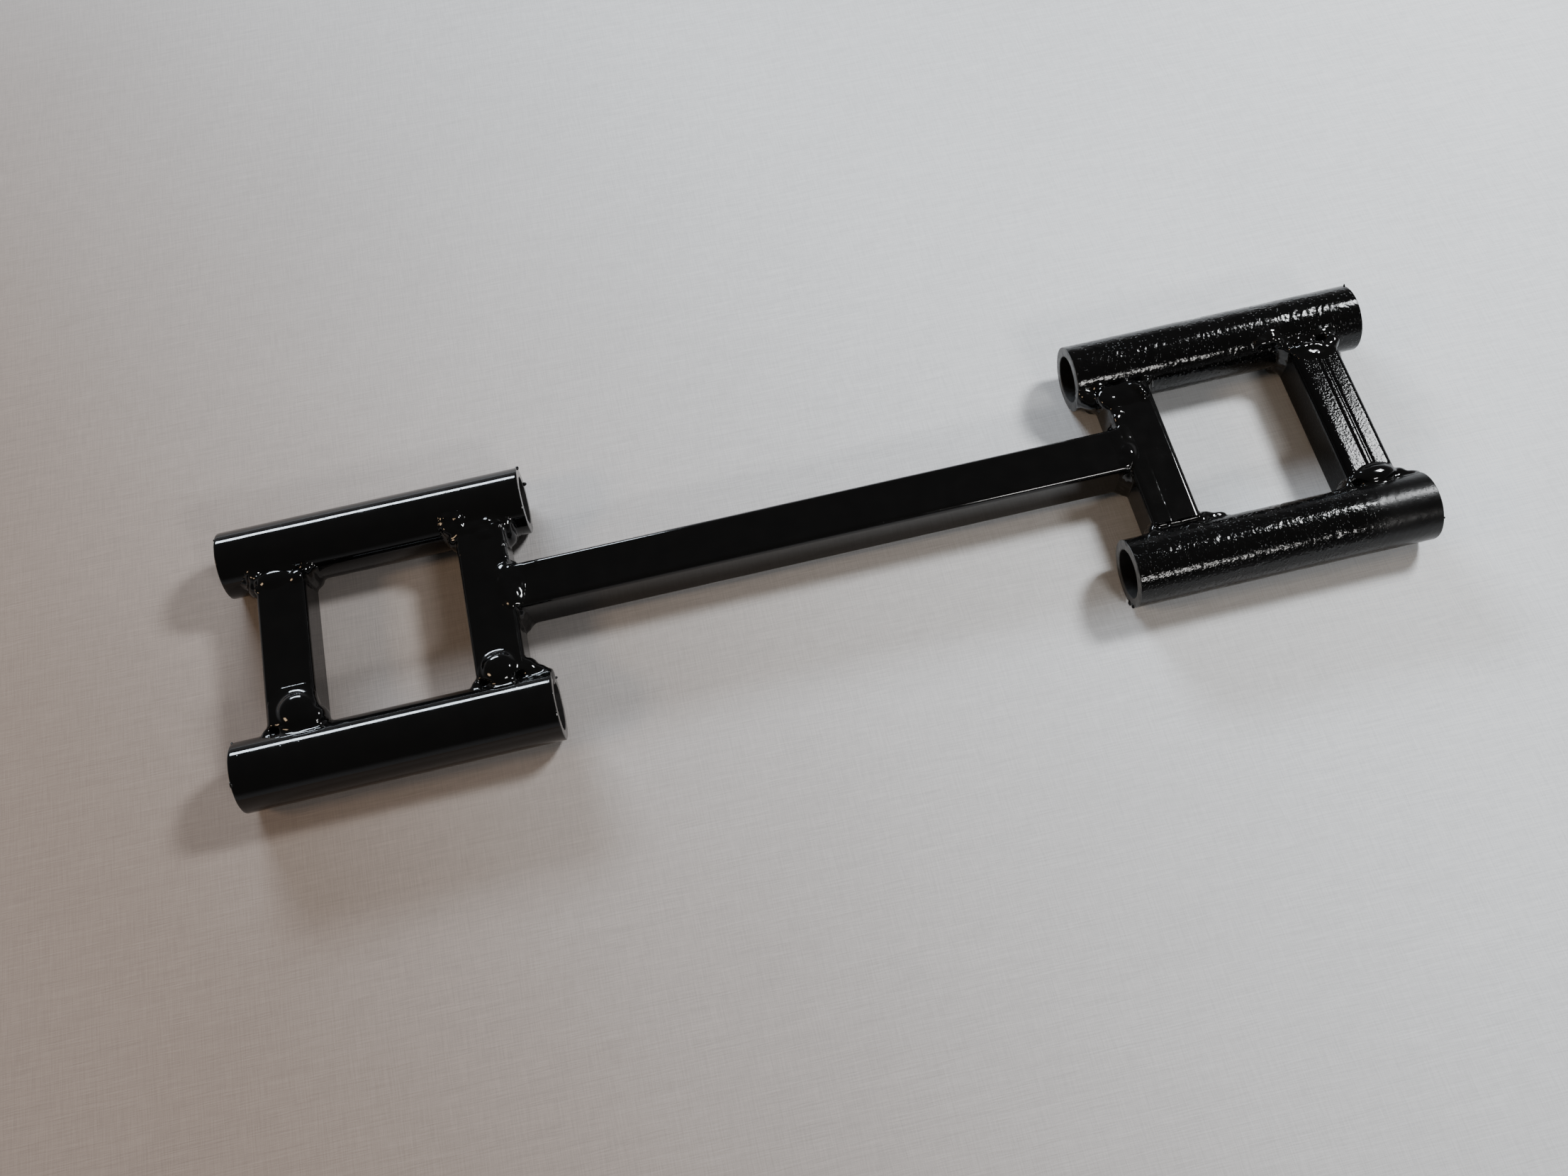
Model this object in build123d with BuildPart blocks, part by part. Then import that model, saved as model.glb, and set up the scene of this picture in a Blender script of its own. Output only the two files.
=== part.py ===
"""Welded steel tie frame for a weight distribution hitch (millimetres, +Z up).

Two box frames, each of two pipe sleeves and two crossbars, are joined by one centre bar.
X runs along the object and Y from the front sleeves to the rear ones. The origin lies in the
middle of the plan, on the surface that the four sleeves rest on.
"""
import os

from build123d import *

# Driving dimensions
INCH = 25.4
SLEEVE_OD = 1.050 * INCH        # 3/4 in schedule 80 pipe
SLEEVE_WALL = 0.154 * INCH
SLEEVE_LENGTH = (4 + 11 / 16) * INCH
SLEEVE_SPACING = 3.5 * INCH     # between the two sleeve axes of a box frame
FRAME_PITCH = (13 + 5 / 16) * INCH      # between the middles of the two box frames
BAR_SIZE = 0.75 * INCH          # square tube of the crossbars and the centre bar
BAR_WALL = 0.083 * INCH
BAR_CORNER = 2.3                # outside corner radius of the square tube
CROSSBAR_PITCH = (3 + 1 / 16) * INCH    # between the two crossbars of a box frame
CENTRE_BAR_Y = 3.8              # the centre bar was welded on off the middle, towards the rear
SEAMS = ((-0.3, 0.5), (2.2, 1.1))        # roll grooves along one crossbar: offset outboard, width
SEAM_DEPTH = 0.25
RUNOUT = 0.5                    # how far a butt bead runs past each side of the bar
BEAD_MARGIN = 0.3               # how far a bead stays inside the sleeves' top and bottom
BEAD_INSET = 0.4                # how far a level bead stops short of the bar's sides
SIDE_BEAD_RADIUS = 3.2
SIDE_BEAD_ARC = 76              # degrees of the sleeve's surface that a side bead follows
BUTT_BEAD_WIDTH = 8.8           # bead across the joint of two flush faces
BUTT_BEAD_HEIGHT = 1.3
BUTT_BEAD_CORNER = 3.0
CORNER_BEAD_RADIUS = 3.6        # upright bead in the corner of two bars
UNDER_BEAD_RADIUS = 3.4

# How far along X each sleeve was welded on from the middle of its box frame
SLEEVE_SHIFT = {
    "left_rear": -2.2,
    "left_front": -2.5,
    "right_rear": 2.5,
    "right_front": -1.8,
}

# Radius of the bead on top of each joint of a crossbar and a sleeve
TOP_BEAD_RADIUS = {
    "left_outer_rear": 3.6,
    "left_outer_front": 5.4,
    "left_inner_rear": 4.2,
    "left_inner_front": 5.2,
    "right_inner_rear": 5.6,
    "right_inner_front": 3.8,
    "right_outer_rear": 4.6,
    "right_outer_front": 3.6,
}

# Worked out from them
SLEEVE_RADIUS = SLEEVE_OD / 2
BORE_RADIUS = SLEEVE_RADIUS - SLEEVE_WALL
AXIS_HEIGHT = SLEEVE_RADIUS
SLEEVE_Y = SLEEVE_SPACING / 2
FRAME_X = FRAME_PITCH / 2
BAR_HALF = BAR_SIZE / 2
BAR_TOP = AXIS_HEIGHT + BAR_HALF
CROSSBAR_LENGTH = SLEEVE_SPACING - SLEEVE_OD
INNER_BAR_X = FRAME_X - CROSSBAR_PITCH / 2
CENTRE_BAR_LENGTH = 2 * (INNER_BAR_X - BAR_HALF)

SIDES = {"left": -1, "right": 1}        # along X
ROWS = {"front": -1, "rear": 1}         # along Y
PLACES = {"inner": -1, "outer": 1}      # crossbars, towards or away from the middle
LEVELS = {"bottom": -1, "top": 1}       # along Z


def save(piece, name):
    """Label a finished piece and write it."""
    piece.part.label = name
    export_step(piece.part, f"parts/{name}.step")


def square_tube(plane, length):
    """A square tube centred on the plane's origin, running along its normal."""
    bore = BAR_SIZE - 2 * BAR_WALL
    with BuildPart() as tube:
        with BuildSketch(plane):
            RectangleRounded(BAR_SIZE, BAR_SIZE, BAR_CORNER)
            RectangleRounded(bore, bore, BAR_CORNER - BAR_WALL, mode=Mode.SUBTRACT)
        extrude(amount=length / 2, both=True)
    return tube


def square_core(plane, length):
    """The same tube without its bore, for trimming the beads that lie on it."""
    with BuildPart() as core:
        with BuildSketch(plane):
            RectangleRounded(BAR_SIZE, BAR_SIZE, BAR_CORNER)
        extrude(amount=length / 2, both=True)
    return core.part


def crossing_plane(x):
    """The plane at the middle of a crossbar, its normal along the bar."""
    return Plane(origin=(x, 0, AXIS_HEIGHT), x_dir=(1, 0, 0), z_dir=(0, -1, 0))


def lengthwise_plane(origin):
    """The plane at the middle of a sleeve or the centre bar, its normal along the piece."""
    return Plane(origin=origin, x_dir=(0, 1, 0), z_dir=(1, 0, 0))


def sleeve_middle(side, row):
    """The middle of a sleeve's axis."""
    x = SIDES[side] * FRAME_X + SLEEVE_SHIFT[f"{side}_{row}"]
    return Vector(x, ROWS[row] * SLEEVE_Y, AXIS_HEIGHT)


def sleeve_core(middle):
    """A sleeve without its bore, for trimming the beads that lie on it."""
    with BuildPart() as core:
        with BuildSketch(lengthwise_plane(middle)):
            Circle(SLEEVE_RADIUS)
        extrude(amount=SLEEVE_LENGTH / 2, both=True)
    return core.part


def sleeve(middle):
    """A plain length of pipe, sawn square at both ends."""
    with BuildPart() as pipe:
        with BuildSketch(lengthwise_plane(middle)):
            Circle(SLEEVE_RADIUS)
            Circle(BORE_RADIUS, mode=Mode.SUBTRACT)
        extrude(amount=SLEEVE_LENGTH / 2, both=True)
    return pipe


def grooved_crossbar(x, outboard):
    """A crossbar with the two fine roll grooves along its top face."""
    bar = square_tube(crossing_plane(x), CROSSBAR_LENGTH)
    with BuildPart() as grooved:
        add(bar.part)
        with BuildSketch(Plane.XY.offset(BAR_TOP)):
            for offset, width in SEAMS:
                with Locations((x + outboard * offset, 0)):
                    Rectangle(width, CROSSBAR_LENGTH)
        extrude(amount=-SEAM_DEPTH, mode=Mode.SUBTRACT)
    return grooved


def level_bead(x, row, level, radius, trims):
    """A bead across the top or bottom of a crossbar, in the groove between it and the sleeve."""
    edge_y = ROWS[row] * (SLEEVE_Y - SLEEVE_RADIUS)
    height = min(BAR_HALF, SLEEVE_RADIUS - BEAD_MARGIN - radius)
    z = AXIS_HEIGHT + LEVELS[level] * height
    # The half outline is turned about the bead's own axis, from the side inside the bar
    half = Plane(origin=(x, edge_y, z), x_dir=(1, 0, 0), z_dir=(0, 0, 1))
    with BuildPart() as bead:
        with BuildSketch(half):
            SlotOverall(BAR_SIZE - 2 * BEAD_INSET, 2 * radius)
            with Locations((0, ROWS[row] * radius)):
                Rectangle(BAR_SIZE, 2 * radius, mode=Mode.SUBTRACT)
        revolve(axis=Axis((x, edge_y, z), (1, 0, 0)))
        for trim in trims:
            add(trim, mode=Mode.SUBTRACT)
    return bead


def side_bead(x, row, toward, pipe):
    """A bead beside a crossbar, bent along the sleeve's surface, with rounded ends."""
    side_x = x + toward * BAR_HALF
    centre = Vector(side_x, ROWS[row] * SLEEVE_Y, AXIS_HEIGHT)
    # Angles are turned about the sleeve's axis, from the direction of the crossbar
    facing = 180 if row == "rear" else 0
    turns = (facing - SIDE_BEAD_ARC / 2, facing + SIDE_BEAD_ARC / 2)
    ends = [Vector(0, SLEEVE_RADIUS, 0).rotate(Axis.X, turn) for turn in turns]
    section = Plane(origin=centre + ends[0], x_dir=(1, 0, 0), z_dir=Vector(1, 0, 0).cross(ends[0]))
    with BuildPart() as bead:
        with BuildSketch(section):
            Circle(SIDE_BEAD_RADIUS)
        revolve(axis=Axis(centre, (1, 0, 0)), revolution_arc=SIDE_BEAD_ARC)
        with Locations(*[centre + end for end in ends]):
            Sphere(SIDE_BEAD_RADIUS)
        split(bisect_by=Plane.YZ.offset(side_x), keep=Keep.TOP if toward > 0 else Keep.BOTTOM)
        add(pipe, mode=Mode.SUBTRACT)
    return bead


def butt_bead(x, level, trims):
    """A low bead across the flush faces where the centre bar meets an inner crossbar."""
    z = AXIS_HEIGHT + LEVELS[level] * (BAR_HALF - BAR_CORNER)
    plane = Plane(origin=(x, CENTRE_BAR_Y, z), x_dir=(1, 0, 0), z_dir=(0, 0, LEVELS[level]))
    with BuildPart() as bead:
        with BuildSketch(plane):
            RectangleRounded(BUTT_BEAD_WIDTH, BAR_SIZE + 2 * RUNOUT, BUTT_BEAD_CORNER)
        extrude(amount=BAR_CORNER + BUTT_BEAD_HEIGHT)
        crown = bead.faces().sort_by(Axis.Z)[-1 if LEVELS[level] > 0 else 0]
        fillet(crown.edges(), BUTT_BEAD_HEIGHT - BEAD_MARGIN)
        for trim in trims:
            add(trim, mode=Mode.SUBTRACT)
    return bead


def corner_bead(x, row, trims):
    """An upright bead in the corner between the centre bar's side and an inner crossbar."""
    y = CENTRE_BAR_Y + ROWS[row] * BAR_HALF
    reach = BAR_HALF - CORNER_BEAD_RADIUS
    with BuildPart() as bead:
        with Locations((x, y, AXIS_HEIGHT)):
            Cylinder(CORNER_BEAD_RADIUS, 2 * reach)
        with Locations((x, y, AXIS_HEIGHT - reach), (x, y, AXIS_HEIGHT + reach)):
            Sphere(CORNER_BEAD_RADIUS)
        for trim in trims:
            add(trim, mode=Mode.SUBTRACT)
    return bead


def weld_crossbar_joint(name, x, row, pipe):
    """The four beads round the joint of one crossbar and one sleeve."""
    bar = square_core(crossing_plane(x), CROSSBAR_LENGTH)
    top = level_bead(x, row, "top", TOP_BEAD_RADIUS[name], [pipe, bar])
    bottom = level_bead(x, row, "bottom", UNDER_BEAD_RADIUS, [pipe, bar])
    save(top, f"weld_{name}_top")
    save(bottom, f"weld_{name}_bottom")
    outboard = 1 if x > 0 else -1
    for label, toward in (("inboard", -outboard), ("outboard", outboard)):
        save(side_bead(x, row, toward, pipe), f"weld_{name}_{label}")


def weld_centre_joint(side, crossbar, centre):
    """The four beads round the joint of the centre bar and one inner crossbar."""
    x = SIDES[side] * CENTRE_BAR_LENGTH / 2
    levels = [butt_bead(x, level, [crossbar, centre]) for level in LEVELS]
    for level, bead in zip(LEVELS, levels):
        save(bead, f"weld_centre_{side}_{level}")
    for row in ROWS:
        bead = corner_bead(x, row, [crossbar, centre] + [level.part for level in levels])
        save(bead, f"weld_centre_{side}_{row}")


os.makedirs("parts", exist_ok=True)

centre_plane = lengthwise_plane((0, CENTRE_BAR_Y, AXIS_HEIGHT))
centre_bar = square_tube(centre_plane, CENTRE_BAR_LENGTH)
save(centre_bar, "centre_bar")
centre_core = square_core(centre_plane, CENTRE_BAR_LENGTH)

for side, sign in SIDES.items():
    middles = {row: sleeve_middle(side, row) for row in ROWS}
    pipes = {row: sleeve_core(middle) for row, middle in middles.items()}
    for row, middle in middles.items():
        save(sleeve(middle), f"sleeve_{side}_{row}")
    for place, outward in PLACES.items():
        x = sign * (FRAME_X + outward * CROSSBAR_PITCH / 2)
        if (side, place) == ("right", "outer"):
            bar = grooved_crossbar(x, sign)
        else:
            bar = square_tube(crossing_plane(x), CROSSBAR_LENGTH)
        save(bar, f"crossbar_{side}_{place}")
        for row in ROWS:
            weld_crossbar_joint(f"{side}_{place}_{row}", x, row, pipes[row])
    inner_core = square_core(crossing_plane(sign * INNER_BAR_X), CROSSBAR_LENGTH)
    weld_centre_joint(side, inner_core, centre_core)
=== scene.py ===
import math

import bpy
import numpy as np
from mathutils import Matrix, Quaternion, Vector


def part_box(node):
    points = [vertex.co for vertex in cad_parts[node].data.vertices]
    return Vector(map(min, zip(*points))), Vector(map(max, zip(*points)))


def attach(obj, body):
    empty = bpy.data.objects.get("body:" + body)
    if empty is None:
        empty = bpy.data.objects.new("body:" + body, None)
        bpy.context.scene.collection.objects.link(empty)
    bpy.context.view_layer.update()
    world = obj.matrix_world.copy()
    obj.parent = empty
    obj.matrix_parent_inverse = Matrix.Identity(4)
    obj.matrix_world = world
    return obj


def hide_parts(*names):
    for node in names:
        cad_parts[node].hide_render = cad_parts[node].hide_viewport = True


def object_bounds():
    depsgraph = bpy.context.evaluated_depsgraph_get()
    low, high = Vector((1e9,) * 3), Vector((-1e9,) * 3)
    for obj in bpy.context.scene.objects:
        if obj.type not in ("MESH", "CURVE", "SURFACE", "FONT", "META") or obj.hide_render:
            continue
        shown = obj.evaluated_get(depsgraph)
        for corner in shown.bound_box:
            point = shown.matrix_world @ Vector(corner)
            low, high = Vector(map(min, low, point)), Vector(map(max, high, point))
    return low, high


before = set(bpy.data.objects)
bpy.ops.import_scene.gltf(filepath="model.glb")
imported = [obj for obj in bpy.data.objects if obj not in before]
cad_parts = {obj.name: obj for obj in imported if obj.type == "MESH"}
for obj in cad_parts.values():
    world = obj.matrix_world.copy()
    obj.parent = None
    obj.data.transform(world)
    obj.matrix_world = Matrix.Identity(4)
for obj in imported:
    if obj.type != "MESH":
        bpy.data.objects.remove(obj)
cad_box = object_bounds()

# Shapes are worked out in millimetres, and mesh_piece() turns them into metres.
# X runs along the object, Y from the front sleeves to the rear ones, and +Z is up.
MM = 0.001


# ---------------------------------------------------------------- sizes, from the frame

def node_box(node):
    """Lowest and highest corner of a CAD node, in millimetres."""
    low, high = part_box(node)
    return np.array(low) / MM, np.array(high) / MM


SIDES = {"left": -1, "right": 1}
ROWS = {"front": -1, "rear": 1}
PLACES = ("inner", "outer")
TOP = cad_box[1].z / MM
BORE_RADIUS = 9.42
BAR_CORNER = 2.3                         # radius of a square bar's long edges


class Sleeve:
    """Where a pipe sleeve lies."""

    def __init__(self, side, row):
        self.node = f"sleeve_{side}_{row}"
        low, high = node_box(self.node)
        self.start, self.end = low[0], high[0]
        self.y, self.z = (low[1] + high[1]) / 2, (low[2] + high[2]) / 2
        self.radius = (high[2] - low[2]) / 2


class Bar:
    """Where a square bar lies: its middle, half its length and the axis it runs along."""

    def __init__(self, node, axis):
        self.node = node
        self.axis = axis
        low, high = node_box(node)
        self.middle = (low + high) / 2
        self.reach = (high[axis] - low[axis]) / 2
        self.half = (high[2] - low[2]) / 2


SLEEVES = {(side, row): Sleeve(side, row) for side in SIDES for row in ROWS}
CROSSBARS = {(side, place): Bar(f"crossbar_{side}_{place}", 1) for side in SIDES for place in PLACES}
CENTRE_BAR = Bar("centre_bar", 0)


# ---------------------------------------------------------------- noise

def lattice(x, y, z, seed):
    """A fixed random value from -1 to 1 for each whole-numbered point, by hashing its numbers."""
    n = x * np.uint32(73856093) ^ y * np.uint32(19349663) ^ z * np.uint32(83492791)
    n = (n ^ np.uint32(seed * 7919 + 13)) * np.uint32(2654435761)
    n = (n ^ (n >> np.uint32(15))) * np.uint32(2246822519)
    n = n ^ (n >> np.uint32(13))
    return (n & np.uint32(0xFFFF)).astype(np.float32) / 32767.5 - 1


def noise(x, y, z, size, seed):
    """Smooth random values from -1 to 1, with lumps about one size across."""
    spots = [np.asarray(v, np.float32) / s for v, s in zip((x, y, z), np.broadcast_to(size, 3))]
    spots = np.broadcast_arrays(*spots)
    floors = [np.floor(s) for s in spots]
    shares = [s - f for s, f in zip(spots, floors)]
    shares = [s * s * (3 - 2 * s) for s in shares]
    corners = [f.astype(np.int64).astype(np.uint32) for f in floors]
    one = np.uint32(1)
    total = 0
    for i in (0, 1):
        for j in (0, 1):
            for k in (0, 1):
                weight = 1
                for share, up in zip(shares, (i, j, k)):
                    weight = weight * (share if up else 1 - share)
                value = lattice(corners[0] + one * i, corners[1] + one * j, corners[2] + one * k, seed)
                total = total + weight * value
    return total


# ---------------------------------------------------------------- meshes

def mesh_piece(name, points, faces, materials, node_names, face_material=None, sharp=40):
    """A finished piece of the object from points in millimetres, riding on the one body."""
    mesh = bpy.data.meshes.new(name)
    mesh.from_pydata((points * MM).tolist(), [], [list(f) for f in faces])
    for material in materials:
        mesh.materials.append(material)
    if face_material is not None:
        mesh.polygons.foreach_set("material_index", np.asarray(face_material, np.int32))
    mesh.polygons.foreach_set("use_smooth", np.ones(len(mesh.polygons), bool))
    mesh.set_sharp_from_angle(angle=math.radians(sharp))
    mesh.update()
    piece = bpy.data.objects.new(name, mesh)
    bpy.context.scene.collection.objects.link(piece)
    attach(piece, "root")
    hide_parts(*node_names)
    return piece


def grid_faces(rows, columns, wrap_rows):
    """Quads over rows of points, each row a closed loop."""
    row, column = np.meshgrid(np.arange(rows if wrap_rows else rows - 1), np.arange(columns), indexing="ij")
    below, beside = (row + 1) % rows, (column + 1) % columns
    corners = [row * columns + column, row * columns + beside,
               below * columns + beside, below * columns + column]
    return np.stack(corners, -1).reshape(-1, 4)


def surface_net(field, origin, step):
    """A closed mesh of quads where a sampled field passes through zero, negative inside."""
    cells = tuple(n - 1 for n in field.shape)
    total = np.zeros((*cells, 3), np.float32)
    count = np.zeros(cells, np.float32)
    crossings = []
    for axis in range(3):
        a = np.take(field, range(cells[axis]), axis)
        b = np.take(field, range(1, field.shape[axis]), axis)
        cross = (a < 0) != (b < 0)
        share = np.where(cross, a / np.where(cross, a - b, 1), 0)
        crossings.append((cross, a < 0))
        u, v = [n for n in range(3) if n != axis]
        for du in (0, 1):
            for dv in (0, 1):
                part = [slice(None)] * 3
                part[u], part[v] = slice(du, du + cells[u]), slice(dv, dv + cells[v])
                here = cross[tuple(part)]
                count += here
                total[..., axis] += share[tuple(part)]
                total[..., u] += here * du
                total[..., v] += here * dv
    used = count > 0
    number = np.full(cells, -1, np.int64)
    number[used] = np.arange(used.sum())
    places = np.argwhere(used) + total[used] / count[used][:, None]
    points = np.asarray(origin) + places * step
    faces = []
    for axis, (cross, below) in enumerate(crossings):
        u, v = [n for n in range(3) if n != axis]
        inner = [slice(None)] * 3
        inner[u], inner[v] = slice(1, cells[u]), slice(1, cells[v])
        at = np.argwhere(cross[tuple(inner)])
        at[:, u] += 1
        at[:, v] += 1
        outward = below[tuple(at.T)]
        ring = []
        for du, dv in ((1, 1), (0, 1), (0, 0), (1, 0)):
            cell = at.copy()
            cell[:, u] -= du
            cell[:, v] -= dv
            ring.append(number[tuple(cell.T)])
        ring = np.stack(ring, 1)
        flip = outward if axis == 1 else ~outward
        ring[flip] = ring[flip][:, ::-1]
        faces.append(ring)
    return points, np.concatenate(faces)


# ---------------------------------------------------------------- materials

def new_material(name):
    """A material with its nodes and links."""
    material = bpy.data.materials.new(name)
    material.use_nodes = True
    return material, material.node_tree.nodes, material.node_tree.links


def node(nodes, kind, **settings):
    """A node with properties and inputs set by name, underscores standing for blanks."""
    made = nodes.new(kind)
    for key, value in settings.items():
        if hasattr(made, key):
            setattr(made, key, value)
        else:
            made.inputs[key.replace("_", " ")].default_value = value
    return made


def place(nodes, links, stretch=(1, 1, 1), turn=(0, 0, 0)):
    """Coordinates in the row frame, in millimetres."""
    coordinates = nodes.new("ShaderNodeTexCoord")
    mapping = node(nodes, "ShaderNodeMapping")
    mapping.inputs["Scale"].default_value = [s / MM for s in stretch]
    mapping.inputs["Rotation"].default_value = turn
    links.new(coordinates.outputs["Object"], mapping.inputs["Vector"])
    return mapping.outputs["Vector"]


def noise_node(nodes, links, where, size, detail=2.0, roughness=0.5):
    """Noise with lumps about one size across."""
    made = node(nodes, "ShaderNodeTexNoise", Scale=1 / size, Detail=detail, Roughness=roughness)
    links.new(where, made.inputs["Vector"])
    return made.outputs["Fac"]


NOISE_SPAN = (0.3, 0.7)                  # most values of a noise node lie between these


def remap(nodes, links, value, low, high, out_low, out_high):
    """A value taken from one range to another, and kept inside it."""
    made = node(nodes, "ShaderNodeMapRange", From_Min=low, From_Max=high, To_Min=out_low, To_Max=out_high)
    links.new(value, made.inputs["Value"])
    return made.outputs["Result"]


def bump(nodes, links, height, depth, before=None):
    """A bump of that depth in millimetres, on top of an earlier one."""
    made = node(nodes, "ShaderNodeBump", Strength=1.0, Distance=depth * MM)
    links.new(height, made.inputs["Height"])
    if before is not None:
        links.new(before, made.inputs["Normal"])
    return made.outputs["Normal"]


def product(nodes, links, first, second):
    """Two values multiplied."""
    made = node(nodes, "ShaderNodeMath", operation="MULTIPLY")
    links.new(first, made.inputs[0])
    links.new(second, made.inputs[1])
    return made.outputs[0]


def two_tone(nodes, links, share, first, second):
    """A colour between two, by share."""
    made = node(nodes, "ShaderNodeMix", data_type="RGBA")
    links.new(share, made.inputs["Factor"])
    made.inputs["A"].default_value = (*first, 1)
    made.inputs["B"].default_value = (*second, 1)
    return made.outputs["Result"]


PAINT_DARK, PAINT_LIGHT = (0.0022, 0.0022, 0.0024), (0.0045, 0.0043, 0.0042)
PATCH_SIZE = 7.0                         # patches of more and less gloss
GRAIN_SIZE = 0.35
NIB_CORE, NIB_EDGE = 0.1, 0.34           # from a nib's middle
DULL_ROUGHNESS, DULL_PEEL = 0.22, 0.15   # added, and share left, where a coat turns dull


def black_paint(name, roughness, peel, grain_depth=0.0, nibs=(3.4, 0.02), dull_between=None, ior=1.5):
    """Brushed-on black enamel: orange peel, finer grain, small nibs of dust and uneven gloss.

    roughness is the range over the surface, peel the size and depth of the orange peel, and
    nibs how far apart and how high they are. With dull_between the coat turns smooth and
    duller between those two places along X.
    """
    material, nodes, links = new_material(name)
    shader = nodes["Principled BSDF"]
    where = place(nodes, links)
    patches = noise_node(nodes, links, where, PATCH_SIZE, 3.0)
    gloss = remap(nodes, links, patches, *NOISE_SPAN, *roughness)
    if dull_between:
        parts = node(nodes, "ShaderNodeSeparateXYZ")
        links.new(where, parts.inputs["Vector"])
        dull = remap(nodes, links, parts.outputs["X"], *dull_between, 0, DULL_ROUGHNESS)
        more = node(nodes, "ShaderNodeMath", operation="ADD")
        links.new(gloss, more.inputs[0])
        links.new(dull, more.inputs[1])
        gloss = more.outputs[0]
    links.new(gloss, shader.inputs["Roughness"])
    links.new(two_tone(nodes, links, patches, PAINT_DARK, PAINT_LIGHT), shader.inputs["Base Color"])
    peel_size, peel_depth = peel
    waves = noise_node(nodes, links, where, peel_size, 2.0)
    if dull_between:
        fading = remap(nodes, links, parts.outputs["X"], *dull_between, 1, DULL_PEEL)
        waves = product(nodes, links, waves, fading)
    surface = bump(nodes, links, waves, peel_depth)
    if grain_depth:
        grain = noise_node(nodes, links, where, GRAIN_SIZE, 3.0, 0.7)
        surface = bump(nodes, links, grain, grain_depth, surface)
    if nibs:
        apart, height = nibs
        nib = node(nodes, "ShaderNodeTexVoronoi", Scale=1 / apart, Randomness=1.0)
        links.new(where, nib.inputs["Vector"])
        lump = remap(nodes, links, nib.outputs["Distance"], NIB_CORE / apart, NIB_EDGE / apart, 1, 0)
        if dull_between:
            lump = product(nodes, links, lump, fading)
        surface = bump(nodes, links, lump, height, surface)
    links.new(surface, shader.inputs["Normal"])
    shader.inputs["IOR"].default_value = ior
    return material


STEEL_MISTED, STEEL_BARE = (0.035, 0.035, 0.036), (0.10, 0.098, 0.094)
STEEL_ROUGHNESS, STEEL_METALLIC = (0.32, 0.55), 0.35
SAW_STRETCH, SAW_TURN = (1, 0.12, 1.6), (0.5, 0, 0)
SAW_LINE_SIZE, SAW_LINE_DEPTH = 0.45, 0.04
MIST_SIZE, MIST_SPAN = 2.5, (0.35, 0.65)
BORE_DARK, BORE_LIGHT = (0.004, 0.004, 0.004), (0.016, 0.014, 0.013)
BORE_ROUGHNESS = (0.4, 0.65)
BORE_PATCH_SIZE, BORE_SPOT_SIZE = 3.0, 1.2


def sawn_steel(name):
    """The sawn end of a pipe: grey, dull, with fine saw lines under a mist of black paint."""
    material, nodes, links = new_material(name)
    shader = nodes["Principled BSDF"]
    saw_place = place(nodes, links, SAW_STRETCH, SAW_TURN)
    lines = noise_node(nodes, links, saw_place, SAW_LINE_SIZE, 3.0, 0.7)
    mist = noise_node(nodes, links, place(nodes, links), MIST_SIZE, 3.0, 0.6)
    bare = remap(nodes, links, mist, *MIST_SPAN, 0, 1)
    links.new(two_tone(nodes, links, bare, STEEL_MISTED, STEEL_BARE), shader.inputs["Base Color"])
    links.new(remap(nodes, links, lines, *NOISE_SPAN, *STEEL_ROUGHNESS), shader.inputs["Roughness"])
    links.new(bump(nodes, links, lines, SAW_LINE_DEPTH), shader.inputs["Normal"])
    shader.inputs["Metallic"].default_value = STEEL_METALLIC
    return material


def bore_coat(name):
    """Thin dull overspray inside a pipe."""
    material, nodes, links = new_material(name)
    shader = nodes["Principled BSDF"]
    where = place(nodes, links)
    patches = noise_node(nodes, links, where, BORE_PATCH_SIZE, 4.0)
    links.new(two_tone(nodes, links, patches, BORE_DARK, BORE_LIGHT), shader.inputs["Base Color"])
    spots = noise_node(nodes, links, where, BORE_SPOT_SIZE)
    links.new(remap(nodes, links, spots, *NOISE_SPAN, *BORE_ROUGHNESS), shader.inputs["Roughness"])
    return material


BACKDROP = (0.34, 0.34, 0.35)            # the studio's far walls
# Painted shade on the cloth: darker and warmer towards the left front, lighter towards the right, where the
# light falls off across the floor.
CLOTH_PAINTED_SHADE, CLOTH_PAINTED_LIT = (0.39, 0.315, 0.272), (0.92, 0.935, 0.955)
PAINTED_SHADE_SPAN = (-310.0, 170.0)             # where the painted shade passes into the lit tone, along a line
PAINTED_SHADE_TURN = math.radians(25)            # turned this much from X
CLOTH_FAR = (0.74, 0.74, 0.74)
NEARBY = (420.0, 900.0)                  # where that takes over, from the middle
SWEEP = (1000.0, 4000.0)                 # where the floor glows into the walls, from the middle
WEAVE_TURN = math.radians(4)
THREAD_STRETCH, SLUB_STRETCH = 0.045, 0.05
THREAD_SIZE, SLUB_SIZE, BROAD_SIZE = 0.55, 2.2, 160.0
THREAD_SHADE, SLUB_SHADE, BROAD_SHADE = (0.92, 1.08), (0.965, 1.035), (0.97, 1.03)
THREAD_SPAN = (0.75, 1.25)               # most sums of weft and warp lie between these
THREAD_DEPTH = 0.10
CLOTH_ROUGHNESS, CLOTH_SPECULAR = 0.85, 0.2


def smooth_range(nodes, links, value, between, to_max=1.0):
    """A smooth step from 0 to to_max while the value passes between two others."""
    made = node(nodes, "ShaderNodeMapRange", interpolation_type="SMOOTHSTEP",
                From_Min=between[0], From_Max=between[1], To_Max=to_max)
    links.new(value, made.inputs["Value"])
    return made.outputs["Result"]


def shaded(nodes, links, tone, share):
    """A tone made lighter or darker by a share."""
    made = node(nodes, "ShaderNodeMix", data_type="RGBA", blend_type="MULTIPLY")
    made.inputs["Factor"].default_value = 1.0
    links.new(tone, made.inputs["A"])
    links.new(share, made.inputs["B"])
    return made.outputs["Result"]


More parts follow.
